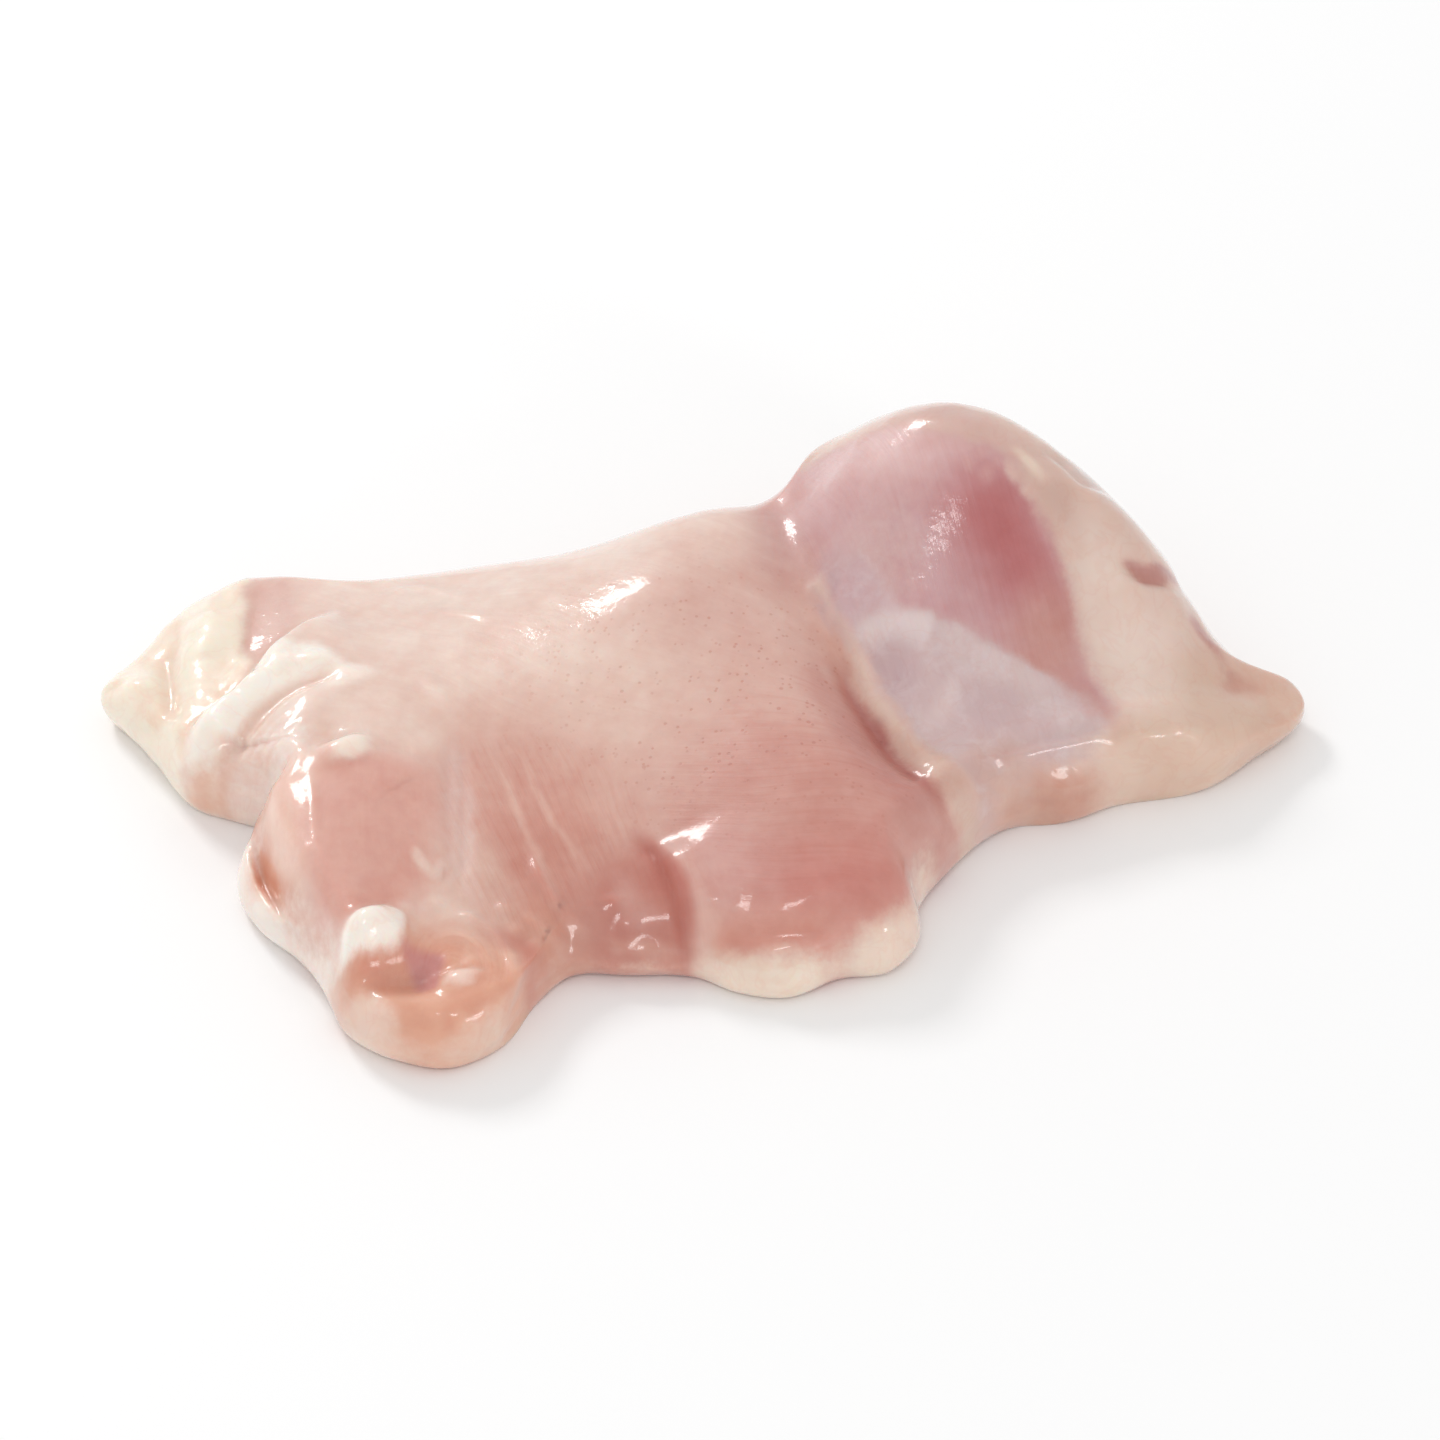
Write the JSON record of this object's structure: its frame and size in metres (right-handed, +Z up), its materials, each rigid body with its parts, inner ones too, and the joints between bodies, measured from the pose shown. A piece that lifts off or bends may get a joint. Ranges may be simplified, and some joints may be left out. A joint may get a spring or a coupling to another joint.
{
  "type": "raw chicken thigh",
  "caption": "Boneless skinless chicken thigh, raw and moist, lying opened out on a flat underside with its thick muscle at the back right.",
  "frame": {"origin": "middle of the bounding box in plan, at the level of the flat underside", "axes": "+X along the piece from the tail of fat to the thin tip, +Y towards the thick muscle at the back, +Z up"},
  "size_m": [0.154, 0.104, 0.0348],
  "materials": {
    "raw_meat": "wet"
  },
  "bodies": {
    "root": {"thigh": "raw_meat"}
  },
  "joints": []
}
